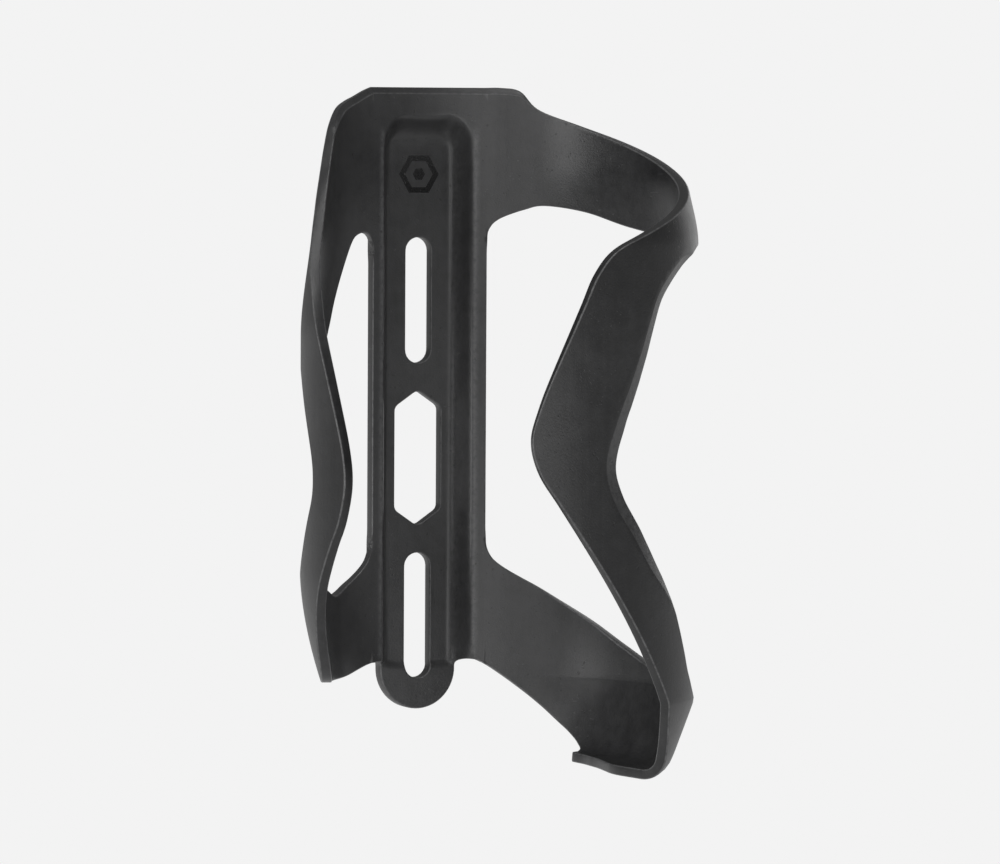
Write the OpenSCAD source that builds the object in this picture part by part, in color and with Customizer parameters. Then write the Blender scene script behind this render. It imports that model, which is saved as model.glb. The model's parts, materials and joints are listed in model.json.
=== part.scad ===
// Side-entry bottle cage, one moulding, drawn as the regions that make it up.
// Origin: midpoint between the two bolt slots, on the face that lies on the frame tube.
// +Z runs up along the tube, -Y points away from it, towards the bottle, +X is the closed side.

/* [Bottle] */
// Diameter of the bottle that the cage grips
bottle_d = 73.5; // [66:0.5:90]
// Gap left between the bottle and the walls, on the radius
bottle_play = 0; // [0:0.1:1]
// Gap between the bottle and the channel floor, room for the bolt heads
bolt_head_room = 4; // [3.2:0.1:7]

/* [Bolt slots] */
// Distance between the centres of the two slots
slot_pitch = 64; // [54:1:72]
// Width of a slot
slot_w = 5.5; // [4.5:0.1:7]
// Length of a slot from end to end
slot_l = 25.5; // [12:0.5:28]

/* [Pointed window] */
// Width of the six-sided window between the two slots
window_w = 10; // [6:0.5:12]
// Height of the window from point to point
window_h = 27.6; // [18:0.2:30]
// Height of each pointed end
point_h = 3.4; // [2:0.1:5]
// Radius of the window's corners
window_r = 1.5; // [0.5:0.1:2]

/* [Walls] */
// Thickness of the wings and arms
wall = 2.2; // [1.6:0.1:3.2]
// Thickness of the channel floor
floor_t = 2.5; // [2:0.1:3.5]
// Depth of the two shoulder rails, front to back
rail_depth = 2.9; // [2.5:0.1:6]
// Thickness of the shelf under the bottle
shelf_t = 2; // [1.5:0.1:3]

/* [Spine widths] */
// Width of the flat channel floor, at its front face
floor_w = 13; // [11:0.5:15]
// Width of the channel where it meets the shoulder rails
mouth_w = 19.6; // [17:0.2:21]
// Width across the shoulder rails
spine_w = 25; // [23:0.5:30]
// Width of the round-ended tongue below the channel
tongue_w = 16.4; // [14:0.2:17]

/* [Heights from the slots' midpoint] */
// Top of the crown
crown_top = 75; // [68:1:90]
// Height of the crown above the closed end of the channel
crown_h = 5; // [3:0.5:6]
// Height taken by the sloping end of the channel
slope_h = 4.5; // [4:0.5:6]
// Lead-in chamfer on the crown's inner edge
lead_in = 1.2; // [0.5:0.1:1.5]
// Lower end of the channel walls and the shoulder rails
channel_drop = 40.8; // [38:0.2:44]
// Lowest point of the tongue
tongue_drop = 51; // [49:1:56]
// Top face of the shelf under the bottle
shelf_drop = 59; // [56:1:72]
// Tip of the long arm
long_tip_z = 7.4; // [2:0.2:14]
// Tip of the short arm
short_tip_z = -1; // [-6:0.5:6]

/* [Shelf] */
// Distance from the mid-plane to the corner where the shelf's two inner edges meet
shelf_edge_x = 23; // [20:0.5:26]
// How far that corner lies in front of the bottle's axis
shelf_corner_y = 4; // [-6:0.5:8]
// Angle by which the long inner edge turns away from the mid-plane, towards the tube
shelf_back_turn = 6.5; // [0:0.5:20]
// The same for the short inner edge, towards the front
shelf_front_turn = 37; // [0:1:45]
// Radius of the shelf's lower outer corner
shelf_r = 1.7; // [0.5:0.1:1.8]

/* [Lean of the walls] */
// How far the walls lean in at the top of both wings
top_lean = 2.4; // [0:0.1:3.5]
// How far the wall of the short side leans in at its foot
short_foot_lean = 4.2; // [0:0.1:4.5]
// Slope of the long side's foot towards the bottle, in degrees from upright
foot_slope = 20; // [0:1:24]
// Height above the shelf at which that slope begins
foot_slope_h = 15.5; // [10:0.5:18]

/* [Hidden] */

inner_r = bottle_d / 2 + bottle_play;
outer_r = inner_r + wall;
axis_y = -(floor_t + bolt_head_room + inner_r);
half_spine = spine_w / 2;
half_mouth = mouth_w / 2;
half_floor = floor_w / 2;
tongue_r = tongue_w / 2;
rail_front_y = axis_y + sqrt(pow(inner_r, 2) - pow(half_spine, 2));
rail_back_y = rail_front_y + rail_depth;
mouth_y = axis_y + sqrt(pow(inner_r, 2) - pow(half_mouth, 2));
channel_top = crown_top - crown_h;
slope_start = channel_top - slope_h;
shelf_z = -shelf_drop;
foot_slope_z = shelf_z + foot_slope_h;
reach = 200;
round_fn = 64;
ring_fn = 180;
moulding_grey = "#3b3b3c";

// ==== Spine: a hat-shaped channel with a slotted floor =====================================

// A channel wall is a slanted plate: its back line lies one wall thickness behind its front line
wall_run = half_mouth - half_floor;
wall_rise = -floor_t - mouth_y;
wall_len = norm([wall_run, wall_rise]);
function wall_back_x(y) =
    half_floor + wall * wall_rise / wall_len
    + (-floor_t + wall * wall_run / wall_len - y) * wall_run / wall_rise;

// The closed end slopes from the floor's front face out to the mouth of the channel
slope_len = norm([floor_t + mouth_y, slope_h]);
slope_back = wall / slope_len * [slope_h, -(floor_t + mouth_y)];

// Extrudes a drawing of the Y-Z plane along X, to both sides of the mid-plane
module across(width) {
    translate([-width / 2, 0, 0])
        rotate([90, 0, 90])
            linear_extrude(height = width) children();
}

module full_height() {
    translate([0, 0, -channel_drop])
        linear_extrude(height = channel_top + channel_drop) children();
}

// What lies behind the sloping end, one wall thickness behind its front face
module behind_slope() {
    start = [-floor_t, slope_start] + slope_back;
    run = [floor_t + mouth_y, slope_h];
    across(reach)
        polygon([start - run, start + 2 * run, [reach, slope_start + 3 * slope_h],
            [reach, (start - run)[1]]]);
}

module slot(z) {
    half_run = (slot_l - slot_w) / 2;
    translate([0, 0, z]) {
        for (end = [-half_run, half_run])
            translate([0, 0, end])
                rotate([90, 0, 0])
                    cylinder(h = reach, d = slot_w, center = true, $fn = round_fn);
        cube([slot_w, reach, 2 * half_run], center = true);
    }
}

// Points of a rounded corner between the edges that leave it in directions a and b
function corner(p, a, b, r, n = 6) =
    let (
        mid = (a + b) / norm(a + b),
        half = acos(a * mid),
        centre = p + mid * r / sin(half),
        from = centre - p - a * r / tan(half),
        start = atan2(-from[1], -from[0]),
        turn = 180 - 2 * half
    )
    [for (i = [0:n]) centre + r * [cos(start + turn * i / n), sin(start + turn * i / n)]];

function unit(v) = v / norm(v);

module pointed_window() {
    w = window_w / 2;
    h = window_h / 2;
    s = h - point_h;
    ring = [[0, h], [-w, s], [-w, -s], [0, -h], [w, -s], [w, s]];
    outline = [for (i = [0:5])
        each corner(ring[i], unit(ring[(i + 5) % 6] - ring[i]), unit(ring[(i + 1) % 6] - ring[i]),
            window_r)];
    rotate([90, 0, 0])
        linear_extrude(height = reach, center = true) polygon(outline);
}

module mounting_plate() {
    back = wall_back_x(0);
    color(moulding_grey)
        difference() {
            union() {
                difference() {
                    full_height()
                        polygon([[-half_floor, -floor_t], [half_floor, -floor_t], [back, 0], [-back, 0]]);
                    behind_slope();
                }
                tongue();
            }
            for (end = [-1, 1]) slot(end * slot_pitch / 2);
            pointed_window();
        }
}

// Round-ended tongue that carries the floor on below the channel walls
module tongue() {
    straight = tongue_drop - tongue_r - channel_drop;
    translate([0, 0, tongue_r - tongue_drop])
        rotate([90, 0, 0])
            intersection() {
                union() {
                    cylinder(h = floor_t, r = tongue_r, $fn = round_fn);
                    translate([-tongue_r, 0, 0]) cube([tongue_w, max(straight, 0) + 0.01, floor_t]);
                }
                translate([-tongue_w, -tongue_w, 0]) cube([2 * tongue_w, tongue_w + straight, floor_t]);
            }
}

module channel_wall() {
    color(moulding_grey)
        difference() {
            full_height()
                polygon([[half_floor, -floor_t], [wall_back_x(0), 0],
                    [wall_back_x(rail_back_y), rail_back_y], [half_mouth, mouth_y]]);
            behind_slope();
        }
}

module shoulder_rail() {
    color(moulding_grey)
        difference() {
            full_height()
                polygon([[half_mouth, mouth_y], [wall_back_x(rail_back_y), rail_back_y],
                    [half_spine, rail_back_y], [half_spine, rail_front_y]]);
            translate([0, axis_y, -reach / 2]) cylinder(h = reach, r = inner_r, $fn = ring_fn);
        }
}

// Sloping wall that closes the channel below the crown
module channel_end() {
    front = [-floor_t, slope_start];
    color(moulding_grey)
        difference() {
            intersection() {
                full_height()
                    polygon([[-half_floor, -floor_t], [half_floor, -floor_t],
                        [half_mouth, mouth_y], [-half_mouth, mouth_y]]);
                across(mouth_w)
                    polygon([front, [mouth_y, channel_top], [-floor_t, channel_top]]);
            }
            behind_slope();
            translate([0, axis_y, -reach / 2]) cylinder(h = reach, r = inner_r, $fn = ring_fn);
        }
}

module crown() {
    color(moulding_grey)
        intersection() {
            translate([0, axis_y, 0])
                rotate_extrude($fn = ring_fn)
                    polygon([[inner_r, channel_top], [outer_r, channel_top], [outer_r, crown_top],
                        [inner_r + lead_in / 2, crown_top], [inner_r, crown_top - lead_in]]);
            translate([-half_spine, axis_y, channel_top])
                cube([spine_w, reach, crown_top]);
        }
}

// ==== Sides: two ribbons that bend around the bottle =======================================
// An outline point is [angle round the bottle's axis from the spine, height]. Each ribbon has a
// window edge and a front edge, point for point, and smooth curves run through both.

root = asin(half_spine / inner_r);
root_outer = asin(half_spine / outer_r);
top = crown_top;
long = long_tip_z;
short = short_tip_z;
low = -channel_drop;

long_window_edge = [
    [root, top - 30], [23, top - 27.2], [30, top - 25.2], [40, top - 23.8], [52, top - 25],
    [68, top - 27.8], [88, top - 29.7], [108, top - 30.5], [125, top - 31.6], [139, top - 36],
    [147.5, top - 40.5], [151.5, long + 22], [154.8, long + 16.4], [159.6, long + 8.8],
    [163.6, long + 2.8], [167, long - 4.8], [164, long - 11], [157, long - 17.4],
    [147, long - 27], [138.8, shelf_z + 29.7], [134.5, shelf_z + 24.5], [130, shelf_z + 19.7],
    [120, shelf_z + 14.4], [105, shelf_z + 15], [90, shelf_z + 16.4], [77, shelf_z + 18.7],
    [65, shelf_z + 22.2], [54, low + 8.2], [44, low + 11.9], [36, low + 15], [27.5, low + 18],
    [22.5, low + 20], [root, low + 23.4]];
long_front_edge = [
    [root, top], [24.5, top], [30.3, top - 0.7], [36.2, top - 4.4], [50, top - 7.6],
    [68, top - 11], [90, top - 15.2], [115, top - 19.8], [140, top - 24.6], [157, top - 28.2],
    [168, top - 31.2], [174.4, long + 32], [179, long + 25.8], [187.5, long + 13.6],
    [192, long + 6.2], [194.3, long], [191.9, long - 6.2], [185.7, long - 12.4],
    [177.6, long - 20.1], [167.6, shelf_z + 36.9], [157.5, shelf_z + 27.3], [149.5, shelf_z + 19.5],
    [141.5, shelf_z + 11.5], [134, shelf_z + 4.6], [121, shelf_z], [105, shelf_z],
    [85, shelf_z], [66, shelf_z], [54.4, shelf_z + 0.7], [42, low - 10.8], [32.5, low - 6.2],
    [24, low - 2.3], [root, low]];

short_window_edge = [
    [root, top - 32.5], [22, top - 29.6], [26, top - 29.4], [29.6, top - 31], [35.2, top - 37.1],
    [39.3, top - 42.4], [42.9, top - 48], [48, short + 23], [57, short + 21.3], [67, short + 20.8],
    [73, short + 18.8], [78.5, short + 14], [83.7, short + 8.4], [87, short + 3.8], [88.1, short],
    [87.2, short - 4], [82.8, short - 8.8], [75.6, short - 15.4], [68, short - 20], [58, low + 17.5],
    [47, low + 16.3], [38, low + 15.7], [31.7, low + 15.6], [27.5, low + 16.7], [24, low + 18.5],
    [21, low + 20.5], [root, low + 23.3]];
short_front_edge = [
    [root, top], [23, top - 0.9], [27.5, top - 2.1], [32, top - 3.2], [36.3, top - 4.8],
    [41.3, top - 8.3], [45, top - 12.2], [50.6, top - 18.1], [57.5, top - 23.5], [66.3, top - 29],
    [74.6, top - 34.2], [84.7, short + 35], [93.6, short + 25], [100.3, short + 15.5],
    [105.5, short + 6], [106.8, short - 1], [104, short - 8], [99.8, short - 12.8],
    [95.7, short - 17.5], [91.1, low + 16.7], [86.2, low + 10.1], [82, low + 4],
    [76.5, low], [62, low - 1.3], [45, low - 2.2], [32, low - 2], [root, low]];

function smooth(t) = let (c = min(max(t, 0), 1)) c * c * (3 - 2 * c);

// How far the wall leans in, at an angle and a height, on the long or the short side
lean_fade_in = 50;
long_lean_h = 15;
short_lean_h = 26;
short_foot_h = 22;
function long_lean(z) =
    top_lean * smooth((z - (top - 30.5)) / long_lean_h)
    + max(0, foot_slope_z - z) * tan(foot_slope);
function short_lean(z) =
    top_lean * smooth((z - (top - 49)) / short_lean_h)
    + short_foot_lean * pow(min(max((low + 20.8 - z) / short_foot_h, 0), 1), 1.7);
function lean(a, z, is_long) =
    smooth((a - root) / lean_fade_in) * (is_long ? long_lean(z) : short_lean(z));

// Point on the wall; depth is 0 on the inner face and 1 on the outer face. At the root the
// outer point swings round so that the end of the ribbon lies flat against the shoulder rail.
function wall_point(a, z, depth, is_long) =
    let (
        r = inner_r + depth * wall - lean(a, z, is_long),
        t = a - depth * (root - root_outer) * (1 - smooth((a - root) / lean_fade_in))
    )
    [r * sin(t), axis_y + r * cos(t), z];

// Smooth curve through the points of an edge
function at(list, i) = list[min(max(i, 0), len(list) - 1)];
function along(list, t) =
    let (
        i = min(floor(t), len(list) - 2),
        f = t - i,
        a = at(list, i - 1),
        b = list[i],
        c = list[i + 1],
        d = at(list, i + 2)
    )
    b + f / 2 * (c - a + f * (2 * a - 5 * b + 4 * c - d + f * (3 * (b - c) + d - a)));

// Stretch of a ribbon from one outline point to another, as one closed mesh. The long side's
// foot stands on the shelf, so no point lies below the shelf's top face.
cuts_per_point = 4;
cuts_across = 8;
module ribbon(window_edge, front_edge, from, to, is_long) {
    steps = (to - from) * cuts_per_point;
    n = cuts_across;
    points = [for (i = [0:steps], j = [0:n], depth = [0, 1])
        let (
            t = from + i / cuts_per_point,
            p = along(window_edge, t) * (1 - j / n) + along(front_edge, t) * j / n
        )
        wall_point(p[0], max(p[1], shelf_z), depth, is_long)];
    function id(i, j, depth) = (i * (n + 1) + j) * 2 + depth;
    function quad(a, b, c, d) = [[a, b, c], [a, c, d]];
    faces = [
        for (i = [0:steps - 1], j = [0:n - 1])
            each quad(id(i, j, 0), id(i, j + 1, 0), id(i + 1, j + 1, 0), id(i + 1, j, 0)),
        for (i = [0:steps - 1], j = [0:n - 1])
            each quad(id(i, j, 1), id(i + 1, j, 1), id(i + 1, j + 1, 1), id(i, j + 1, 1)),
        for (i = [0:steps - 1])
            each quad(id(i, 0, 0), id(i + 1, 0, 0), id(i + 1, 0, 1), id(i, 0, 1)),
        for (i = [0:steps - 1])
            each quad(id(i, n, 0), id(i, n, 1), id(i + 1, n, 1), id(i + 1, n, 0)),
        for (j = [0:n - 1])
            each quad(id(0, j, 0), id(0, j, 1), id(0, j + 1, 1), id(0, j + 1, 0)),
        for (j = [0:n - 1])
            each [[id(steps, j, 0), id(steps, j + 1, 1), id(steps, j, 1)],
                [id(steps, j, 0), id(steps, j + 1, 0), id(steps, j + 1, 1)]]];
    polyhedron(points = points, faces = faces, convexity = 4);
}

module long_side(from, to) {
    color(moulding_grey) ribbon(long_window_edge, long_front_edge, from, to, true);
}

module short_side(from, to) {
    color(moulding_grey)
        mirror([1, 0, 0]) ribbon(short_window_edge, short_front_edge, from, to, false);
}

// Shelf under the bottle: the part of a round plate that lies beyond a straight inner edge
module bottle_shelf() {
    foot_r = outer_r - foot_slope_h * tan(foot_slope);
    r = shelf_r;
    color(moulding_grey)
        intersection() {
            translate([0, axis_y, shelf_z - shelf_t])
                union() {
                    cylinder(h = shelf_t, r = foot_r - r, $fn = ring_fn);
                    translate([0, 0, r]) cylinder(h = shelf_t - r, r = foot_r, $fn = ring_fn);
                    rotate_extrude($fn = ring_fn)
                        translate([foot_r - r, r])
                            intersection() {
                                circle(r = r, $fn = round_fn);
                                translate([0, -r]) square(r);
                            }
                }
            translate([shelf_edge_x, axis_y - shelf_corner_y, shelf_z - reach / 2])
                linear_extrude(height = reach)
                    polygon([[0, 0], [reach * tan(shelf_back_turn), reach], [2 * reach, reach],
                        [2 * reach, -reach], [reach * tan(shelf_front_turn), -reach]]);
        }
}

mounting_plate();
channel_wall();  // channel_wall_right
mirror([1, 0, 0]) channel_wall();  // channel_wall_left
shoulder_rail();  // shoulder_rail_right
mirror([1, 0, 0]) shoulder_rail();  // shoulder_rail_left
channel_end();
crown();
long_side(0, 6);  // upper_wing_right
long_side(6, 12);  // upper_arm_right
long_side(12, 18);  // tip_right
long_side(18, 22);  // lower_arm_right
long_side(22, 26);  // foot_right
long_side(26, 32);  // lower_wing_right
bottle_shelf();
short_side(0, 8);  // upper_wing_left
short_side(8, 12);  // upper_arm_left
short_side(12, 17);  // tip_left
short_side(17, 21);  // lower_arm_left
short_side(21, 26);  // lower_wing_left
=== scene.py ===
import json
import math

import bmesh
import bpy
import numpy as np
from mathutils import Matrix, Vector
from mathutils.geometry import delaunay_2d_cdt


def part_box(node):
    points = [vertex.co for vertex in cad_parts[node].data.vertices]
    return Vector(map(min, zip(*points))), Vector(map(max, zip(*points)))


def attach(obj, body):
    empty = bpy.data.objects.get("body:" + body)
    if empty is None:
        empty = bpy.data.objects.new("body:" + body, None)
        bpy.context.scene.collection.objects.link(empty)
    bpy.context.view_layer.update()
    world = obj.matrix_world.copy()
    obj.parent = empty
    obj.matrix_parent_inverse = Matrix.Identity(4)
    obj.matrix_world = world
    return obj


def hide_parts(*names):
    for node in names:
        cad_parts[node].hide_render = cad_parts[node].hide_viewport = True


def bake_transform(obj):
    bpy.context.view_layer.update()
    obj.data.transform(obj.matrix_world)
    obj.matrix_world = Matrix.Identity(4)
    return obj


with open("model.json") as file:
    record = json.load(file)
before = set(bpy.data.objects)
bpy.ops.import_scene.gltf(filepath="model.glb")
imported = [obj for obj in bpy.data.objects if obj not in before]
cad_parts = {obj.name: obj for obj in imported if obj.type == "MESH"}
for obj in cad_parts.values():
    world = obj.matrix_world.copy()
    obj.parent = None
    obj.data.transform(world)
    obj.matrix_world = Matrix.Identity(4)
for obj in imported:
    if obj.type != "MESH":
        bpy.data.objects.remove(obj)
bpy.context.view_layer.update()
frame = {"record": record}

# A side-entry bottle cage: one moulding of charcoal plastic. Its skin is made in three pieces:
# the spine, and a long and a short loop that are cut out flat, with rounded edges, and then
# wrapped round the bottle. Sizes here are in millimetres; the meshes are in metres.
MM = 0.001


# ---- Camera --------------------------------------------------------------------------------

CAMERA_TURN, CAMERA_TILT, CAMERA_ROLL = -23.785, 3.03, 0.299
LENS, SENSOR = 212.6, 36
# How far the camera stands to the right of the origin, above it, and back from it
CAMERA_RIGHT, CAMERA_UP, CAMERA_BACK = 17.72, 5.13, 1200


def place_camera():
    """A long lens, 1.2 m from the cage, looking from the open side and a little from above."""
    turn, tilt, roll = (math.radians(angle) for angle in (CAMERA_TURN, CAMERA_TILT, CAMERA_ROLL))
    level = Vector((math.cos(turn), math.sin(turn), 0))
    back = Vector((math.sin(turn) * math.cos(tilt), -math.cos(turn) * math.cos(tilt), math.sin(tilt)))
    upright = back.cross(level)
    right = level * math.cos(roll) + upright * math.sin(roll)
    up = upright * math.cos(roll) - level * math.sin(roll)
    camera = bpy.data.objects.new("camera", bpy.data.cameras.new("camera"))
    camera.data.lens = LENS
    camera.data.sensor_width = SENSOR
    camera.data.clip_start = 0.01
    camera.data.clip_end = 50
    place = (right * CAMERA_RIGHT + up * CAMERA_UP + back * CAMERA_BACK) * MM
    camera.matrix_world = Matrix((right, up, back)).transposed().to_4x4()
    camera.matrix_world.translation = place
    bpy.context.scene.collection.objects.link(camera)
    bpy.context.scene.camera = camera


place_camera()


# ---- Sizes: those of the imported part, then those of the visible skin only --------------------

def low(node, axis):
    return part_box(node)[0][axis] / MM


def high(node, axis):
    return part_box(node)[1][axis] / MM


INNER_R = 36.75
WALL = 2.2
OUTER_R = INNER_R + WALL
MID_R = INNER_R + WALL / 2
FLOOR = low("mounting_plate", 1)
HALF_SPINE = high("crown", 0)
AXIS_Y = low("shoulder_rail_right", 1) - math.sqrt(INNER_R**2 - HALF_SPINE**2)
RAIL_BACK = high("shoulder_rail_right", 1)
TOP = high("crown", 2)
CHANNEL_TOP = low("crown", 2)
SLOPE_START = low("channel_end", 2)
LOW = low("shoulder_rail_right", 2)
TONGUE_R = high("mounting_plate", 0)
TONGUE_Z = low("mounting_plate", 2) + TONGUE_R
SHELF_Z = high("bottle_shelf", 2)
ROOT = math.degrees(math.asin(HALF_SPINE / INNER_R))
ROOT_OUT = math.degrees(math.asin(HALF_SPINE / OUTER_R))
SHELF_WALL = high("bottle_shelf", 2) - low("bottle_shelf", 2)
SLOT_PITCH, SLOT_LENGTH, SLOT_R = 64, 25.5, 2.75

# The channel seen from the bottle: half its floor and mouth, and how steeply its walls rise
HALF_FLOOR = 7.4
HALF_MOUTH = 9.8
WALL_SLOPE = 2.3
CORNER_R = 3.0
FLOOR_BLEND, MOUTH_BLEND = 2.0, 0.65
# The channel seen from the tube: its walls, and the sloping end, which starts a little higher
HALF_BACK, BACK_SLOPE = 7.62, 1.6
BACK_END_RISE, BACK_END_SLOPE = 0.76, 1.173
BACK_BLEND = 0.5
# Fillet beside the tongue, and the drop of the lower edge towards the long wing
FILLET = 1.5
ROOT_DROP = 0.8
# Roundness of the free edges, round the slots and window, and the chamfer along the top
EDGE, HOLE_EDGE = 0.32, 0.28
LEAD_IN, LEAD_IN_DEPTH = 1.3, 0.75
# The shelf rolls in round a bend, which is tighter near its free end
SHELF_BEND = 4.0
TIGHT_BEND, TIGHT_BEND_ANGLE, WIDE_BEND_ANGLE = 0.4, 0.80, 1.22
SHELF_LEVEL = SHELF_Z + 0.4


# ---- Sums on sockets -----------------------------------------------------------------------

class Num:
    """A number in a node tree. Each operator adds its Math node."""

    def __init__(self, graph, socket):
        self.graph, self.socket = graph, socket

    def math(self, operation, *others):
        terms = dict(enumerate((self, *others)))
        return self.graph.node("ShaderNodeMath", {"operation": operation}, terms)[0]

    def __add__(self, other):
        return self.math("ADD", other)

    def __sub__(self, other):
        return self.math("SUBTRACT", other)

    def __mul__(self, other):
        return self.math("MULTIPLY", other)

    def __truediv__(self, other):
        return self.math("DIVIDE", other)

    def __pow__(self, other):
        return self.math("POWER", other)

    def __rsub__(self, other):
        return (self * -1) + other

    __radd__, __rmul__ = __add__, __mul__

    def rise(self, start, end):
        """0 up to start, 1 from end on, with a smooth step between them."""
        kind = {"interpolation_type": "SMOOTHSTEP"}
        return self.graph.node("ShaderNodeMapRange", kind, {0: self, 1: start, 2: end})[0]


class Graph:
    """Adds nodes to a tree: a node's type, its settings, then the values or links of its sockets."""

    def __init__(self, tree):
        self.tree = tree

    def node(self, kind, settings=None, sockets=None):
        node = self.tree.nodes.new(kind)
        for name, value in (settings or {}).items():
            setattr(node, name, value)
        for name, value in (sockets or {}).items():
            if isinstance(value, Num):
                self.tree.links.new(value.socket, node.inputs[name])
            else:
                node.inputs[name].default_value = value
        return Outputs(self, node)


class Outputs:
    """The outputs of a node, by number or by name, each as a Num."""

    def __init__(self, graph, node):
        self.graph, self.node = graph, node

    def __getitem__(self, name):
        return Num(self.graph, self.node.outputs[name])


# ---- Plastic -------------------------------------------------------------------------------

DEEP = (0.0090, 0.0090, 0.0096, 1)
PALE = (0.0410, 0.0410, 0.0420, 1)
# Paler colour for scratches, scuffed edges and painted edge highlights
RUBBED_AND_SHEEN = (0.160, 0.160, 0.162, 1)
DUST = (0.006, 0.006, 0.0062, 1)
MARK_COLOUR = (0.0035, 0.0035, 0.0037, 1)
# The mark on the channel floor: its height, then the outer, inner and centre reach of its hexagons
MARK_Z = 57.5
MARK_OUTER, MARK_INNER, MARK_CENTRE = 3.75, 2.65, 1.15
MARK_BLUR = 0.1


def moulded_plastic(name, mark=False):
    """Charcoal plastic: fine moulded grain, faint flow marks, pits, and paler edges, partly scuffed and
    partly painted highlights.
    """
    material = bpy.data.materials.new(name)
    material.use_nodes = True
    tree = material.node_tree
    tree.nodes.clear()
    g = Graph(tree)
    place = g.node("ShaderNodeTexCoord")["Object"]
    xyz = g.node("ShaderNodeSeparateXYZ", None, {0: place})
    y = xyz["Y"] / MM

    def noise(size_mm, detail, roughness=0.5, vector=place):
        values = {"Vector": vector, "Scale": 1 / (size_mm * MM), "Detail": detail, "Roughness": roughness}
        return g.node("ShaderNodeTexNoise", None, values)["Fac"]

    def mixed(share, first, second):
        return g.node("ShaderNodeMix", {"data_type": "RGBA"}, {0: share, 6: first, 7: second})[2]

    clouds = noise(22, 3)
    mottle = noise(2.6, 4, 0.6)
    grain = noise(0.32, 2, 0.6)
    specks = noise(0.75, 1).rise(0.70, 0.78)
    drawn = g.node("ShaderNodeMapping", None, {"Vector": place, "Scale": (1, 1, 0.06)})["Vector"]
    flow = noise(1.3, 3, 0.55, drawn)
    scratch_place = g.node("ShaderNodeMapping", None,
                           {"Vector": place, "Rotation": (0.3, 0.5, 0.9), "Scale": (1, 0.03, 1)})["Vector"]
    scratches = noise(0.5, 1, 0.5, scratch_place).rise(0.69, 0.74) * noise(9, 1).rise(0.52, 0.62)
    # The edge attribute: paler edges, partly scuffing and partly painted highlights
    edge = g.node("ShaderNodeAttribute", {"attribute_name": "edge"})["Fac"]
    worn_and_highlight = edge * (noise(1.1, 4, 0.7).rise(0.30, 0.62) * 0.7 + 0.3)

    tone = clouds * 0.42 + mottle * 0.30 + grain * 0.14 + flow * 0.14
    # Paler on the spine, darker on the arms in front; a guess, with no known cause
    tone = tone + (y.rise(-70, -12) - 0.5) * 0.22
    colour = mixed(tone.rise(0.30, 0.74), DEEP, PALE)
    # Scratches, and scuffed edges with their painted highlights, turn paler
    colour = mixed(worn_and_highlight * 0.75 + scratches * 0.20, colour, RUBBED_AND_SHEEN)
    colour = mixed(specks * 0.5, colour, DUST)
    roughness = 0.26 + mottle * 0.12 + grain * 0.06 - worn_and_highlight * 0.06
    if mark:
        # A plain hexagon, moulded smooth and darker, on the channel floor
        across = (xyz["X"] / MM).math("ABSOLUTE")
        along = (xyz["Z"] / MM - MARK_Z).math("ABSOLUTE")
        reach = (across * 0.866 + along * 0.5).math("MAXIMUM", along)
        outer = reach.rise(MARK_OUTER + MARK_BLUR, MARK_OUTER - MARK_BLUR)
        inner = reach.rise(MARK_INNER - MARK_BLUR, MARK_INNER + MARK_BLUR)
        centre = reach.rise(MARK_CENTRE + MARK_BLUR, MARK_CENTRE - MARK_BLUR)
        on_floor = y.rise(-3.2, -2.9) * y.rise(-2.0, -2.2)
        ring = (outer * inner + centre) * on_floor
        colour = mixed(ring * 0.85, colour, MARK_COLOUR)
        roughness = roughness - ring * 0.24
    height = grain * 0.55 + mottle * 0.35 + flow * 0.25 - specks * 0.5 - scratches * 0.3
    values = {"Strength": 0.42, "Distance": 0.14 * MM, "Height": height}
    bump = g.node("ShaderNodeBump", None, values)["Normal"]
    shader = g.node("ShaderNodeBsdfPrincipled", None,
                    {"Base Color": colour, "Roughness": roughness, "Normal": bump})
    shader.node.inputs["Specular IOR Level"].default_value = 0.62
    g.node("ShaderNodeOutputMaterial", None, {"Surface": shader["BSDF"]})
    return material


SPINE_PLASTIC = moulded_plastic("moulded_plastic_spine", mark=True)
LOOP_PLASTIC = moulded_plastic("moulded_plastic_loops")


# ---- Flat outlines -------------------------------------------------------------------------

def ease(t):
    t = np.clip(t, 0, 1)
    return t * t * (3 - 2 * t)


def through(points, steps=10):
    """A smooth curve through the points."""
    p = np.asarray(points, float)
    p = np.vstack((p[:1], p, p[-1:]))
    f = np.linspace(0, 1, steps, endpoint=False)[:, None]
    spans = [
        b + f / 2 * (c - a + f * (2 * a - 5 * b + 4 * c - d + f * (3 * (b - c) + d - a)))
        for a, b, c, d in zip(p[:-3], p[1:-2], p[2:-1], p[3:])
    ]
    return np.vstack((*spans, p[-1:]))


def evenly(line, step):
    """The same line with its points step apart, ends kept."""
    run = np.concatenate(([0], np.cumsum(np.linalg.norm(np.diff(line, axis=0), axis=1))))
    count = max(2, int(round(run[-1] / step)) + 1)
    marks = np.linspace(0, run[-1], count)
    return np.column_stack([np.interp(marks, run, line[:, k]) for k in (0, 1)])


def arc(centre, radius, start, end, step=0.8):
    count = max(3, int(abs(math.radians(end - start)) * radius / step) + 2)
    turn = np.radians(np.linspace(start, end, count))
    return np.column_stack((centre[0] + radius * np.cos(turn), centre[1] + radius * np.sin(turn)))


def inside(points, loop):
    """Which points lie inside a closed loop."""
    x, y = points[:, :1], points[:, 1:]
    a, b = loop, np.roll(loop, -1, axis=0)
    crosses = (a[:, 1] > y) != (b[:, 1] > y)
    with np.errstate(divide="ignore", invalid="ignore"):
        at = a[:, 0] + (y - a[:, 1]) / (b[:, 1] - a[:, 1]) * (b[:, 0] - a[:, 0])
    return (crosses & (x < at)).sum(axis=1) % 2 == 1


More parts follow.
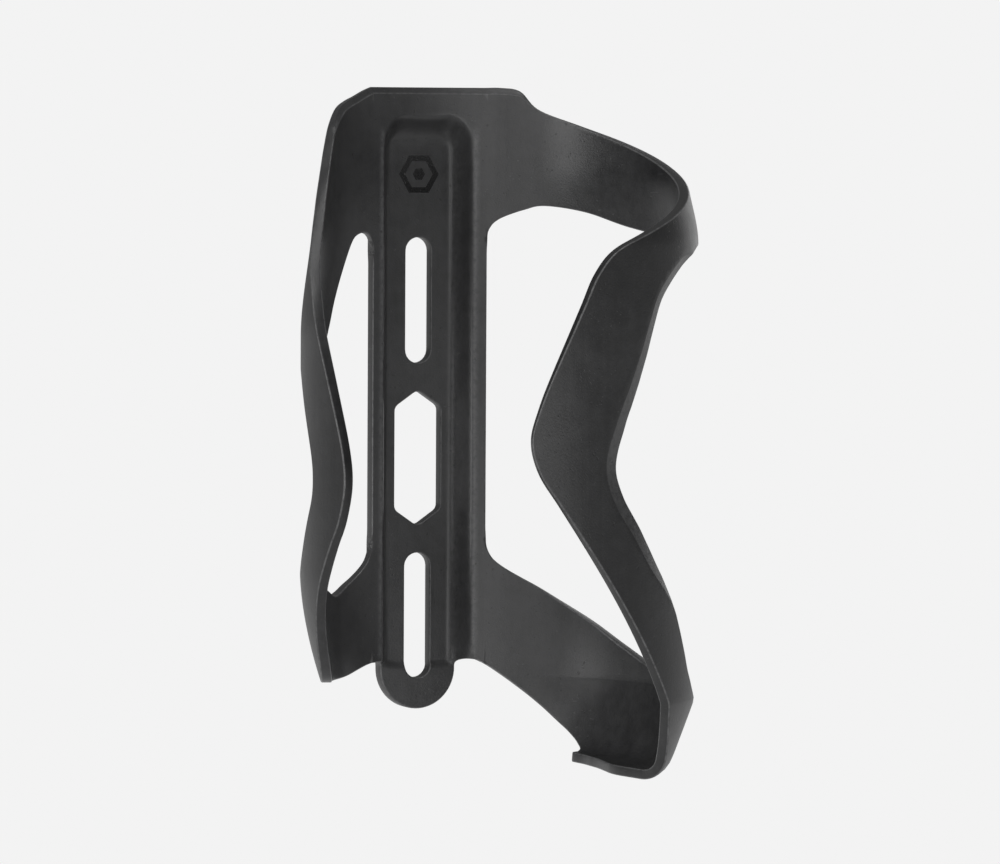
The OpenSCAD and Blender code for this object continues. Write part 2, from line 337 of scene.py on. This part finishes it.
def nearest(points, line):
    """Distance from each point to the nearest point of a line, and that point's place along it."""
    gap = np.linalg.norm(points[:, None, :] - line[None, :, :], axis=2)
    return gap.min(axis=1), gap.argmin(axis=1) / (len(line) - 1)


# Steps of a rounded edge, from the side wall to just inside the face
LAST_TURN = 1.15
TURNS = (0, 0.25, 0.5, 0.75, 1, LAST_TURN)
# Painted highlights: the line along the chamfer's lower border, and the facet's paler back face
CHAMFER_HIGHLIGHT, FACET_HIGHLIGHT = 0.9, 0.35
SPOT_CLEARANCE = 0.42


class Loop:
    """One closed outline of a flat plate, with how far each of its edges is rounded or chamfered."""

    def __init__(self, points, front, back, chamfer=0, hole=False, fixed=()):
        points = np.asarray(points, float)
        after = np.roll(points, -1, axis=0)
        area = (points[:, 0] * after[:, 1] - after[:, 0] * points[:, 1]).sum()
        flip = (area > 0) == hole
        order = slice(None, None, -1) if flip else slice(None)
        self.points = points[order]
        size = len(points)
        self.front = np.broadcast_to(front, size).astype(float)[order]
        self.back = np.broadcast_to(back, size).astype(float)[order]
        self.chamfer = np.broadcast_to(chamfer, size).astype(float)[order]
        run = np.roll(self.points, -1, axis=0) - np.roll(self.points, 1, axis=0)
        run /= np.maximum(np.linalg.norm(run, axis=1, keepdims=True), 1e-9)
        self.inward = np.column_stack((-run[:, 1], run[:, 0]))
        for index, direction in fixed:
            self.inward[size - 1 - index if flip else index] = direction

    def ring(self, turn, is_front):
        """One ring of the rounded edge: points, depths, and paleness from scuffing and painted highlights.
        Turn is 0 on the side wall and 1 where the face begins, and the last ring lies just inside that."""
        radius = self.front if is_front else self.back
        weight = self.chamfer if is_front else 0 * self.chamfer
        share = min(turn, 1)
        angle = share * math.pi / 2
        inset = radius * (1 - math.cos(angle)) * (1 - weight) + LEAD_IN * share * weight
        inset = inset + max(turn - 1, 0) * 2 * radius
        depth = radius * (1 - math.sin(angle)) * (1 - weight) + LEAD_IN_DEPTH * (1 - share) * weight
        # Rounded edges are palest mid-way round, from scuffing and a painted highlight; the chamfer gets a
        # painted highlight line where its face begins
        ring_wear_and_highlight = math.sin(angle * 2) * (1 - weight) + (turn == 1) * CHAMFER_HIGHLIGHT * weight
        wear_and_highlight = ring_wear_and_highlight * np.minimum(radius / EDGE, 1)
        return self.points + self.inward * inset[:, None], depth, wear_and_highlight


def plate(loops, spots):
    """A closed flat plate: (points, depth below its face, front or back, edge scuffing and painted
    highlights, faces).
    """
    points, depths, fronts, wear_and_highlight, faces = [], [], [], [], []
    start = 0

    def add(place, depth, edge, is_front):
        nonlocal start
        first = start
        points.append(place)
        depths.append(np.broadcast_to(depth, len(place)))
        fronts.append(np.full(len(place), is_front))
        wear_and_highlight.append(np.broadcast_to(edge, len(place)))
        start += len(place)
        return first

    rims = {True: [], False: []}
    for loop in loops:
        size = len(loop.points)
        rings = []
        for is_front in (True, False):
            turns = TURNS[::-1] if is_front else TURNS
            for turn in turns:
                first = add(*loop.ring(turn, is_front), is_front)
                rings.append(first)
                if turn == LAST_TURN:
                    rims[is_front].append((first, size))
        for a, b in zip(rings, rings[1:]):
            for i in range(size):
                j = (i + 1) % size
                faces.append((a + i, b + i, b + j, a + j))
    for is_front in (True, False):
        edges, index = [], []
        for first, size in rims[is_front]:
            base = len(index)
            index += range(first, first + size)
            edges += [(base + i, base + (i + 1) % size) for i in range(size)]
        everything = np.vstack(points)
        rim = everything[index]
        kept = spots
        outlines = [everything[first:first + size] for first, size in rims[is_front]]
        for number, outline in enumerate(outlines):
            within = inside(kept, outline)
            kept = kept[within if number == 0 else ~within]
            kept = kept[nearest(kept, outline)[0] > SPOT_CLEARANCE]
        first = add(kept, 0, 0, is_front)
        index += range(first, first + len(kept))
        flat = np.vstack((rim, kept))
        result = delaunay_2d_cdt([Vector(p) for p in flat], edges, [], 0, 1e-7)
        home = [index[own[0]] for own in result[3]]
        triangles = np.array(result[2])
        places = np.array([tuple(v) for v in result[0]])
        middle = places[triangles].mean(axis=1)
        keep = inside(middle, outlines[0])
        for outline in outlines[1:]:
            keep &= ~inside(middle, outline)
        for a, b, c in triangles[keep]:
            corners = (home[a], home[b], home[c])
            faces.append(corners if is_front else corners[::-1])
    return (np.vstack(points), np.concatenate(depths), np.concatenate(fronts),
            np.concatenate(wear_and_highlight), faces)


def honeycomb(lowest, highest, pitch):
    """Evenly spread spots in a rectangle."""
    rows = np.arange(lowest[1], highest[1], pitch * 0.866)
    spots = [
        (x + (row % 2) * pitch / 2, y)
        for row, y in enumerate(rows)
        for x in np.arange(lowest[0], highest[0], pitch)
    ]
    return np.array(spots)


def solid(name, places, faces, wear_and_highlight):
    """A mesh object from places in millimetres, closed, facing out, with its scuffed edges and painted
    highlights marked.
    """
    mesh = bpy.data.meshes.new(name)
    mesh.from_pydata([tuple(p) for p in np.asarray(places) * MM], [], faces)
    mark = mesh.attributes.new("edge", "FLOAT", "POINT")
    mark.data.foreach_set("value", np.asarray(wear_and_highlight, np.float32))
    finish_mesh(mesh)
    thing = bpy.data.objects.new(name, mesh)
    bpy.context.scene.collection.objects.link(thing)
    return thing


def finish_mesh(mesh):
    """Merges doubles, turns every face outwards and shades it smooth, except across its corners."""
    work = bmesh.new()
    work.from_mesh(mesh)
    bmesh.ops.remove_doubles(work, verts=work.verts, dist=0.002 * MM)
    bmesh.ops.dissolve_degenerate(work, edges=work.edges, dist=0.001 * MM)
    bmesh.ops.recalc_face_normals(work, faces=work.faces)
    work.to_mesh(mesh)
    work.free()
    mesh.shade_smooth()
    mesh.set_sharp_from_angle(angle=math.radians(48))


# ---- Spine: channel, rails, crown and tongue -----------------------------------------------

def soft_min(a, b, width):
    """The lower of two heights, with a fillet where they meet."""
    overlap = np.maximum(width - np.abs(a - b), 0) / width
    return np.minimum(a, b) - overlap * overlap * width / 4


def soft_max(a, b, width):
    return -soft_min(-a, -b, width)


def bottle_circle(x, radius):
    return AXIS_Y + np.sqrt(radius**2 - np.minimum(np.abs(x), radius * 0.9) ** 2)


def lower_edge(x):
    """Height of the spine's lower edge beside the tongue. It drops a little towards the long wing."""
    start = TONGUE_R + FILLET
    return LOW - ROOT_DROP * np.clip((x - start) / (HALF_SPINE - start), 0, 1) ** 2


def in_channel(x, z):
    """1 between the channel walls, falling to 0 on the flat tongue."""
    return ease((z - lower_edge(x) + FILLET) / (FILLET + 0.3))


def spine_front(x, z):
    """The face towards the bottle: channel floor, slanted walls, sloping end, then the rails. The
    floor's two upper corners are rounded."""
    beside = np.maximum(np.abs(x) - HALF_FLOOR + CORNER_R, 0)
    above = np.maximum(z - SLOPE_START + CORNER_R, 0)
    out = np.maximum(np.hypot(beside, above), 1e-6)
    end_slope = (FLOOR - bottle_circle(HALF_MOUTH, INNER_R)) / (CHANNEL_TOP - SLOPE_START)
    steepness = WALL_SLOPE * in_channel(x, z) + (end_slope - WALL_SLOPE) * (above / out) ** 2
    channel = soft_min(FLOOR + 0 * x, FLOOR - (out - CORNER_R) * steepness, FLOOR_BLEND)
    return soft_max(channel, bottle_circle(x, INNER_R), MOUTH_BLEND)


def spine_back(x, z):
    """The face towards the tube."""
    side = -(np.abs(x) - HALF_BACK) * BACK_SLOPE * in_channel(x, z)
    slope = -(z - SLOPE_START - BACK_END_RISE) * BACK_END_SLOPE
    channel = soft_min(soft_min(0 * x, side, BACK_BLEND), slope, BACK_BLEND)
    limit = RAIL_BACK + (bottle_circle(x, OUTER_R) - RAIL_BACK) * ease((z - CHANNEL_TOP + 1.5) / 2)
    return soft_max(channel, limit, BACK_BLEND)


def channel_painted_highlight(x, z):
    """Painted highlights: paler lines along the channel's mouth and, fainter, beside its floor, where
    the rounded edges catch the light. That they are rub marks is a guess: they may be the way that a
    glossier edge catches the light."""
    along = ease((SLOPE_START + 2 - z) / 2) * ease((z - LOW) / 2)
    mouth = np.exp(-(((np.abs(x) - 10.15) / 0.42) ** 2))
    fillet = np.exp(-(((np.abs(x) - 7.75) / 0.8) ** 2))
    return along * np.maximum(0.75 * mouth, 0.3 * fillet)


def rail_side(top, gap_top, gap_low, sign):
    """One side of the spine, from the top down, and how much its edge is rounded. Only the stretch
    between the wings is a free edge."""
    free = evenly(np.array([(0, gap_top), (0, gap_low)]), 0.9)[:, 1]
    upper = np.arange(top - 3, gap_top + 1.4, -3)
    lower = np.arange(gap_low - 2.4, LOW + 1.4, -3)
    heights = np.concatenate((upper, free, lower))
    heights = heights[heights > LOW + 1]
    roundness = ease((gap_top - heights) / 2.5) * ease((heights - gap_low) / 2.5)
    return np.column_stack((np.full(len(heights), sign * HALF_SPINE), heights)), roundness


def bolt_slot(middle):
    """The outline of a bolt slot, round at both ends."""
    run = SLOT_LENGTH / 2 - SLOT_R
    upper = arc((0, middle + run), SLOT_R, 0, 180, 0.5)
    lower = arc((0, middle - run), SLOT_R, 180, 360, 0.5)
    return np.vstack((upper, lower, upper[:1]))


def spine_skin(gaps):
    """The spine in one piece. Gaps gives each side's free stretch, between its two wings."""
    top_edge = evenly(np.array([(HALF_SPINE, TOP), (-HALF_SPINE, TOP)]), 0.9)
    left, left_round = rail_side(TOP, *gaps["left"], -1)
    right, right_round = rail_side(TOP, *gaps["right"], 1)
    level = evenly(np.array([(-HALF_SPINE, LOW), (-TONGUE_R - FILLET, LOW)]), 0.6)
    corner = arc((-TONGUE_R - FILLET, LOW - FILLET), FILLET, 90, 0, 0.4)
    under_left = np.vstack((level, corner[1:]))
    tongue = arc((0, TONGUE_Z), TONGUE_R, 180, 360)
    under_right = (under_left * (-1, 1))[::-1]
    beside = under_right[:, 0] > TONGUE_R + FILLET
    under_right[beside, 1] = lower_edge(under_right[beside, 0])
    bottom = np.vstack((under_left, tongue, under_right))
    bottom_round = ease((HALF_SPINE - np.abs(bottom[:, 0])) / 1.5)
    outline = np.vstack((top_edge, left, bottom, right[::-1]))
    roundness = np.concatenate((np.ones(len(top_edge)), left_round, bottom_round, right_round[::-1]))
    chamfer = np.zeros(len(outline))
    chamfer[:len(top_edge)] = 1
    loops = [Loop(outline, EDGE * roundness, EDGE * roundness, chamfer,
                  fixed=((0, (0, -1)), (len(top_edge) - 1, (0, -1))))]
    for middle in (-SLOT_PITCH / 2, SLOT_PITCH / 2):
        loops.append(Loop(evenly(bolt_slot(middle), 0.7)[:-1], HOLE_EDGE, HOLE_EDGE, hole=True))
    loops.append(Loop(evenly(pointed_window(), 0.6)[:-1], HOLE_EDGE, HOLE_EDGE, hole=True))

    # Spots lie closer together where the channel's walls and end bend
    columns = np.concatenate((np.arange(0.55, 5.6, 1.1), np.arange(5.9, 10.7, 0.45), (11.2, 11.7, 12.1)))
    columns = np.concatenate((-columns[::-1], columns))
    rows = np.concatenate((np.arange(-50.5, -43.5, 1.0), np.arange(-43.4, -39.5, 0.45),
                           np.arange(-39, 64, 1.2), np.arange(64.2, 71.6, 0.45), np.arange(72, 75, 0.8)))
    spots = np.array([(x + (number % 2) * 0.12, z) for number, z in enumerate(rows) for x in columns])
    flat, depth, fronts, wear_and_highlight, faces = plate(loops, spots)
    x, z = flat[:, 0], flat[:, 1]
    y = np.where(fronts, spine_front(x, z) + depth, spine_back(x, z) - depth)
    # Pale lines along the channel's mouth and beside its floor: painted highlights
    wear_and_highlight = np.maximum(wear_and_highlight, fronts * channel_painted_highlight(x, z))
    return solid("spine_skin", np.column_stack((x, y, z)), faces, wear_and_highlight)


def pointed_window():
    """The six-sided window, with its corners rounded."""
    half_w, half_h, point_h, radius = 5.0, 13.8, 3.4, 1.5
    shoulder = half_h - point_h
    ring = [(0, half_h), (-half_w, shoulder), (-half_w, -shoulder),
            (0, -half_h), (half_w, -shoulder), (half_w, shoulder)]
    line = []
    for i, corner in enumerate(ring):
        corner = Vector(corner)
        a = (Vector(ring[i - 1]) - corner).normalized()
        b = (Vector(ring[(i + 1) % 6]) - corner).normalized()
        half = a.angle(b) / 2
        centre = corner + (a + b).normalized() * radius / math.sin(half)
        start = corner + a * radius / math.tan(half) - centre
        for step in range(7):
            turn = Matrix.Rotation((math.pi - 2 * half) * step / 6, 2)
            line.append(tuple(centre + turn @ start))
    return np.array(line + line[:1])


# ---- Loops: cut flat, then wrapped round the bottle -----------------------------------------

def wrap_tree():
    """Node tree that bends a flat blank round the bottle. In the blank, X is the length round the
    bottle, Y the depth into the wall and Z the height. Just above the shelf, the blank rolls in
    under the bottle, more tightly near the shelf's free end."""
    tree = bpy.data.node_groups.new("wrap_round_bottle", "GeometryNodeTree")
    tree.is_modifier = True
    face = tree.interface
    face.new_socket("Geometry", in_out="OUTPUT", socket_type="NodeSocketGeometry")
    face.new_socket("Blank", in_out="INPUT", socket_type="NodeSocketGeometry")
    names = ("Bottle radius", "Wall", "Axis", "Root angle", "Root swing", "Lean run", "Top lean",
             "Top lean start", "Top lean end", "Foot slope", "Foot slope start", "Foot lean",
             "Foot lean start", "Foot lean height", "Foot lean power", "Shelf level", "Shelf bend", "Side")
    for name in names:
        face.new_socket(name, in_out="INPUT", socket_type="NodeSocketFloat")
    face.new_socket("Plastic", in_out="INPUT", socket_type="NodeSocketMaterial")
    g = Graph(tree)
    given = g.node("NodeGroupInput")
    radius, wall, axis, root, swing = (given[name] for name in names[:5])
    lean_run, top_lean, top_start, top_end, slope, slope_start = (given[name] for name in names[5:11])
    foot_lean, foot_start, foot_height, foot_power = (given[name] for name in names[11:15])
    shelf, widest, side = (given[name] for name in names[15:])

    flat = g.node("ShaderNodeSeparateXYZ", None, {0: g.node("GeometryNodeInputPosition")[0]})
    angle = flat["X"] / (radius + wall * 0.5)
    depth, height = flat["Y"], flat["Z"]
    fade = angle.rise(root, root + lean_run)
    tilt = (fade * slope).math("ARCTANGENT")
    widening = angle.rise(TIGHT_BEND_ANGLE, WIDE_BEND_ANGLE)
    bend = widest * (widening * (1 - TIGHT_BEND) + TIGHT_BEND)
    shelf_start = shelf + bend * (1 - tilt.math("SINE"))
    stands = height.math("MAXIMUM", shelf_start)
    rolled = shelf_start - height.math("MINIMUM", shelf_start)

    lean = top_lean * stands.rise(top_start, top_end)
    lean = lean + (slope_start - stands).math("MAXIMUM", 0.0) * slope
    low_part = ((foot_start - stands) / foot_height).math("MAXIMUM", 0.0).math("MINIMUM", 1.0)
    lean = lean + foot_lean * low_part**foot_power

    turned = (tilt + rolled / bend).math("MINIMUM", math.pi / 2)
    beyond = (rolled - (math.pi / 2 - tilt) * bend).math("MAXIMUM", 0.0)
    reach = radius - fade * lean - bend * (tilt.math("COSINE") - turned.math("COSINE")) - beyond
    level = stands - bend * (turned.math("SINE") - tilt.math("SINE"))
    facing = turned * height.rise(slope_start + 0.001, slope_start - 0.003)
    reach = reach + depth * facing.math("COSINE")
    level = level - depth * facing.math("SINE")
    turn = angle - depth / wall * swing * (1 - fade)
    place = g.node("ShaderNodeCombineXYZ", None, {
        "X": reach * turn.math("SINE") * side, "Y": axis + reach * turn.math("COSINE"), "Z": level})
    wrapped = g.node("GeometryNodeSetPosition", None, {"Geometry": given["Blank"], "Position": place[0]})
    real = g.node("GeometryNodeRealizeInstances", None, {"Geometry": wrapped[0]})
    coated = g.node("GeometryNodeSetMaterial", None, {"Geometry": real[0], "Material": given["Plastic"]})
    g.node("NodeGroupOutput", None, {"Geometry": coated[0]})
    return tree


def wrapped_blank(name, blank, tree, values):
    """The blank, bent by the tree and kept as a plain mesh."""
    sockets = {item.name: item.identifier for item in tree.interface.items_tree if item.in_out == "INPUT"}
    bender = blank.modifiers.new("wrap", "NODES")
    bender.node_group = tree
    for key, value in values.items():
        bender[sockets[key]] = value
    blank.update_tag()
    ready = blank.evaluated_get(bpy.context.evaluated_depsgraph_get())
    mesh = bpy.data.meshes.new_from_object(ready)
    mesh.name = name
    blank.modifiers.clear()
    bpy.data.objects.remove(blank)
    finish_mesh(mesh)
    thing = bpy.data.objects.new(name, mesh)
    bpy.context.scene.collection.objects.link(thing)
    return thing


def facet_breadth(along):
    """The facet's share of its full width: it opens quickly, widens slowly and runs out."""
    return ease(along / 0.1) * (0.8 + 0.2 * ease(along / 0.7)) * ease((1 - along) / 0.2)


# The first points of a loop's front edge, which carry on the crown's chamfer
TOP_POINTS = 30


def flat_side(name, window_edge, front_edge, lead_in_run, facet=None, crease=None):
    """A flat blank for one loop, from its two edges, each a list of (angle, height). The lead-in
    chamfer runs that far from the root. Rows of spots keep the facet and the crease crisp."""
    scale = np.array((math.radians(1) * MID_R, 1))
    window = evenly(through(window_edge) * scale, 0.75)
    front = evenly(through(front_edge) * scale, 0.75)
    root = ROOT * scale[0]

    def seam(start, end):
        heights = np.arange(start + 2.4, end - 2.4, 3)
        return np.column_stack((np.full(len(heights), root), heights))

    lower = seam(front[-1, 1], window[-1, 1])
    upper = seam(window[0, 1], front[0, 1])
    outline = np.vstack((front, lower, window[::-1], upper))
    run = outline[:, 0] - root
    at_top = np.arange(len(outline)) < TOP_POINTS
    roundness = np.where(at_top, 1, ease(run / 1.5))
    chamfer = np.where(at_top, 1 - ease((run - lead_in_run) / 6), 0)
    loop = Loop(outline, EDGE * roundness, EDGE * roundness, chamfer, fixed=((0, (0, -1)),))
    spots = honeycomb(outline.min(axis=0), outline.max(axis=0), 1.05)
    guides = []
    if facet:
        first, last, width, cut = facet
        line = evenly(through(window_edge[first:last + 1]) * scale, 0.35)
        share = np.linspace(0, 1, len(line))
        away = np.gradient(line, axis=0)[:, ::-1] * (-1, 1)
        away /= np.linalg.norm(away, axis=1, keepdims=True)
        breadth = width * facet_breadth(share)
        guides += [line + away * (breadth + step)[:, None] for step in (0, -0.2)]
    if crease:
        row = np.arange(root, outline[:, 0].max(), 0.45)
        guides += [np.column_stack((row, np.full(len(row), crease + step))) for step in (-0.1, 0.1)]
    for guide in guides:
        spots = spots[nearest(spots, guide)[0] > 0.45]
    spots = np.vstack((spots, *guides))
    flat, depth, fronts, wear_and_highlight, faces = plate([loop], spots)
    thickness = np.full(len(flat), WALL)
    if facet:
        gap, along = nearest(flat, line)
        breadth = width * facet_breadth(along) + 1e-6
        thickness -= cut * facet_breadth(along) * np.clip(1 - gap / breadth, 0, 1)
        # The facet's back face is painted paler: a painted highlight
        wear_and_highlight = np.maximum(wear_and_highlight, FACET_HIGHLIGHT * (~fronts & (gap < breadth - 0.1)))
    if crease:
        thickness -= (WALL - SHELF_WALL) * ease((SHELF_LEVEL + 5 - flat[:, 1]) / 6)
    deep = np.where(fronts, depth, thickness - depth)
    return solid(name, np.column_stack((flat[:, 0], deep, flat[:, 1])), faces, wear_and_highlight)


# Height of the tip of each loop, and of the crease above the long loop's foot
long_tip, short_tip = 7.4, -1.0
foot_crease = SHELF_Z + 14.9
# Each edge runs from the root at the top, round the loop, to the root at the bottom
long_window = [
    (ROOT, TOP - 30.6), (20, TOP - 29.3), (20.8, TOP - 28.2), (22.4, TOP - 27.1), (25.4, TOP - 26),
    (31.7, TOP - 24.6), (38.3, TOP - 23.8), (52, TOP - 25),
    (68, TOP - 27.8), (88, TOP - 29.7), (108, TOP - 30.5), (125, TOP - 31.6), (139, TOP - 36),
    (147.5, TOP - 40.5), (151.5, long_tip + 22), (154.8, long_tip + 16.4), (159.6, long_tip + 8.8),
    (163.6, long_tip + 2.8), (167, long_tip - 4.8), (164, long_tip - 11), (157, long_tip - 17.4),
    (147, long_tip - 27), (138.8, SHELF_Z + 29.7), (134.5, SHELF_Z + 24.5), (130, SHELF_Z + 19.7),
    (120, SHELF_Z + 14.4), (105, SHELF_Z + 15), (90, SHELF_Z + 16.4), (77, SHELF_Z + 18.7),
    (65, SHELF_Z + 22.2), (54, LOW + 8.2), (44, LOW + 11.9), (36, LOW + 15), (27.5, LOW + 18),
    (23.2, LOW + 19.9), (21.2, LOW + 21.4), (20.1, LOW + 23), (ROOT, LOW + 24.4)]
long_front = [
    (ROOT, TOP), (24.5, TOP), (30.3, TOP - 0.7), (36.2, TOP - 4.4), (50, TOP - 7.6),
    (68, TOP - 11), (90, TOP - 15.2), (115, TOP - 19.8), (140, TOP - 24.6), (157, TOP - 28.2),
    (168, TOP - 31.2), (174.4, long_tip + 32), (179, long_tip + 25.8), (187.5, long_tip + 13.6),
    (192, long_tip + 6.2), (194.3, long_tip), (191.9, long_tip - 6.2), (185.7, long_tip - 12.4),
    (177.6, long_tip - 20.1), (167.6, SHELF_Z + 36.9), (157.5, SHELF_Z + 27.3), (149.5, SHELF_Z + 19.5),
    (141.5, SHELF_Z + 11.5), (135, SHELF_Z + 6), (128.5, SHELF_Z + 1), (121, SHELF_Z - 2.6),
    (112.5, SHELF_Z - 5.6), (105, SHELF_Z - 7.1), (96, SHELF_Z - 7.5), (84, SHELF_Z - 6.6),
    (71, SHELF_Z - 4.6), (62, SHELF_Z - 2.8), (56, SHELF_Z - 1.9), (53.2, SHELF_Z - 1.2),
    (53.1, SHELF_Z - 0.4), (54.6, SHELF_Z + 0.1), (54.7, SHELF_Z + 0.9), (53.4, SHELF_Z + 1.6),
    (51.4, SHELF_Z + 2.7), (47.7, SHELF_Z + 4.4), (42.8, LOW - 11.7), (32.9, LOW - 6.8),
    (23.6, LOW - 2.4), (ROOT, LOW - ROOT_DROP)]
short_window = [
    (ROOT, TOP - 33), (20, TOP - 31.4), (20.8, TOP - 30.1), (22.8, TOP - 29.3), (26, TOP - 29.4),
    (29.6, TOP - 31), (35.2, TOP - 37.1),
    (39.3, TOP - 42.4), (42.9, TOP - 48), (48, short_tip + 23), (57, short_tip + 21.3),
    (67, short_tip + 20.8), (73, short_tip + 18.8), (78.5, short_tip + 14), (83.7, short_tip + 8.4),
    (87, short_tip + 3.8), (88.1, short_tip), (87.2, short_tip - 4), (82.8, short_tip - 8.8),
    (75.6, short_tip - 15.4), (68, short_tip - 20), (58, LOW + 17.5), (48, LOW + 16.6),
    (43, LOW + 15.5), (39, LOW + 14.3), (35.2, LOW + 14.8), (31, LOW + 16.2), (27.5, LOW + 17.4),
    (24, LOW + 19), (21.5, LOW + 20.7),
    (20.1, LOW + 22.7), (ROOT, LOW + 24.2)]
short_front = [
    (ROOT, TOP), (23, TOP - 0.7), (27.5, TOP - 1.9), (32, TOP - 2.9), (36.8, TOP - 4.4),
    (41.6, TOP - 7.8), (45.2, TOP - 11.9), (50.6, TOP - 18.1), (57.5, TOP - 23.5), (66.3, TOP - 29),
    (74.6, TOP - 34.2), (84.7, short_tip + 35), (93.6, short_tip + 25), (100.3, short_tip + 15.5),
    (105.5, short_tip + 6), (106.8, short_tip - 1), (104, short_tip - 8), (99.8, short_tip - 12.8),
    (95.7, short_tip - 17.5), (91.1, LOW + 16.7), (86.6, LOW + 10.1), (83.4, LOW + 5.2),
    (80.3, LOW + 1.8), (76, LOW - 0.3), (70, LOW - 1.2), (60, LOW - 1.7), (45, LOW - 2.2),
    (32, LOW - 2), (ROOT, LOW)]

shared = {
    "Bottle radius": INNER_R * MM, "Wall": WALL * MM, "Axis": AXIS_Y * MM,
    "Root angle": math.radians(ROOT), "Root swing": math.radians(ROOT - ROOT_OUT),
    "Lean run": math.radians(50), "Top lean": 2.4 * MM, "Shelf bend": SHELF_BEND * MM,
    "Plastic": LOOP_PLASTIC}
wrap = wrap_tree()
# The long loop's rear edge is cut back by 1.25 along a facet 3.3 wide, from one guide point to another
long_blank = flat_side(
    "long_blank", long_window, long_front, lead_in_run=5, facet=(11, 22, 3.3, 1.25), crease=foot_crease)
right_skin = wrapped_blank(
    "long_loop_skin", long_blank, wrap,
    {**shared, "Top lean start": (TOP - 30.5) * MM, "Top lean end": (TOP - 15.5) * MM,
     "Foot slope": math.tan(math.radians(20)), "Foot slope start": foot_crease * MM,
     "Foot lean": 0.0, "Foot lean start": -1.0, "Foot lean height": 1.0, "Foot lean power": 1.0,
     "Shelf level": SHELF_LEVEL * MM, "Side": 1.0})
short_blank = flat_side("short_blank", short_window, short_front, lead_in_run=11)
left_skin = wrapped_blank(
    "short_loop_skin", short_blank, wrap,
    {**shared, "Top lean start": (TOP - 49) * MM, "Top lean end": (TOP - 23) * MM,
     "Foot slope": 0.0, "Foot slope start": -1.0,
     "Foot lean": 4.2 * MM, "Foot lean start": (LOW + 20.8) * MM, "Foot lean height": 22 * MM,
     "Foot lean power": 1.7, "Shelf level": -1.0, "Side": -1.0})
spine = spine_skin({
    "right": (long_window[0][1], long_window[-1][1]),
    "left": (short_window[0][1], short_window[-1][1])})
spine.data.materials.append(SPINE_PLASTIC)

bodies = frame["record"]["behaviour"]["bodies"]
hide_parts(*bodies["spine"])
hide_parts(*bodies["right_side"])
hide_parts(*bodies["left_side"])
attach(spine, "spine")
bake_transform(right_skin)
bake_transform(left_skin)


# ---- Studio --------------------------------------------------------------------------------

BACKDROP = (0.896, 0.896, 0.896, 1)
FLOOR_REACH, FLOOR_Z = 9, -0.32
LAMP_TARGET = Vector((0, -0.04, 0))


def studio():
    """A plain pale backdrop that lights the cage less than it shows, and six softboxes."""
    scene = bpy.context.scene
    scene.view_settings.view_transform = "Standard"
    scene.view_settings.look = "None"
    world = bpy.data.worlds.new("studio")
    world.use_nodes = True
    world.node_tree.nodes.clear()
    g = Graph(world.node_tree)
    seen = g.node("ShaderNodeLightPath")["Is Camera Ray"]
    air = g.node("ShaderNodeBackground", None, {"Color": BACKDROP, "Strength": seen * 0.80 + 0.20})
    g.node("ShaderNodeOutputWorld", None, {"Surface": air[0]})
    scene.world = world

    floor = bpy.data.objects.new("floor", bpy.data.meshes.new("floor"))
    corners = [(x * FLOOR_REACH, y * FLOOR_REACH, FLOOR_Z) for x, y in ((-1, -1), (1, -1), (1, 1), (-1, 1))]
    floor.data.from_pydata(corners, [], [(0, 1, 2, 3)])
    paint = bpy.data.materials.new("floor_paint")
    paint.use_nodes = True
    paint.node_tree.nodes.clear()
    g = Graph(paint.node_tree)
    seen = g.node("ShaderNodeLightPath")["Is Camera Ray"]
    glow = g.node("ShaderNodeEmission", None, {"Color": BACKDROP, "Strength": seen * 0.36 + 0.64})
    g.node("ShaderNodeOutputMaterial", None, {"Surface": glow[0]})
    floor.data.materials.append(paint)
    scene.collection.objects.link(floor)

    # Each softbox: where it stands, its width and height, and its power
    lamps = (
        ("side_strip", (-1.25, -0.24, 0.12), (0.50, 1.7), 7.0),
        ("corner_strip", (-0.92, -0.86, 0.10), (0.20, 1.5), 1.5),
        ("front", (-0.30, -1.20, 0.45), (0.6, 0.6), 2.2),
        ("low_front", (-0.10, -0.95, -0.30), (0.9, 0.5), 2.4),
        ("top", (-0.10, -0.25, 1.20), (0.7, 0.7), 3.6),
        ("rear", (0.90, 0.70, 0.30), (0.7, 0.7), 1.2),
    )
    for name, place, (width, height), power in lamps:
        lamp = bpy.data.objects.new(name, bpy.data.lights.new(name, "AREA"))
        lamp.data.shape = "RECTANGLE"
        lamp.data.size = width
        lamp.data.size_y = height
        lamp.data.energy = power
        lamp.location = place
        lamp.rotation_euler = (Vector(place) - LAMP_TARGET).to_track_quat("Z", "Y").to_euler()
        scene.collection.objects.link(lamp)


studio()
